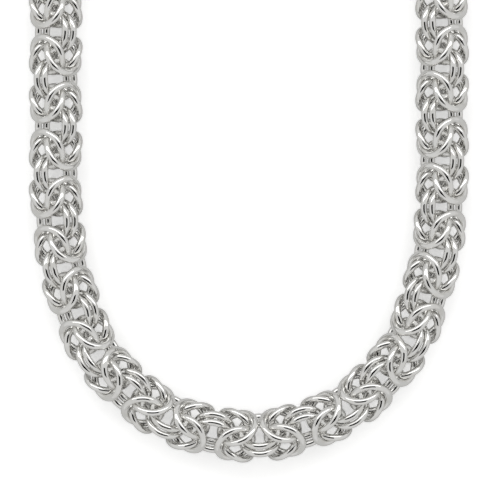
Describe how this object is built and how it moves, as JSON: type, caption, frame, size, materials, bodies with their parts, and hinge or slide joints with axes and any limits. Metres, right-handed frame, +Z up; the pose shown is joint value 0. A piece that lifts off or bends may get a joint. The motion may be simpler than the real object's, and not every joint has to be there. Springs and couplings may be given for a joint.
{
  "type": "byzantine chain necklace",
  "caption": "Heavy byzantine chain necklace of round polished silver rings, closed into a loop by a plain clasp and lying flat on a surface.",
  "frame": {"origin": "on the surface that the necklace lies on, under the middle of its box", "axes": "+Z up from the surface, +Y from the round front of the loop to the clasp, +X to the right of someone who looks along +Y"},
  "size_m": [0.1008, 0.1877, 0.0121],
  "materials": {
    "polished_silver": "polished sterling silver"
  },
  "bodies": {
    "root": {"chain_left": "polished_silver", "chain_right": "polished_silver", "end_ring_left": "polished_silver", "end_ring_right": "polished_silver", "clasp": "polished_silver"}
  },
  "joints": []
}
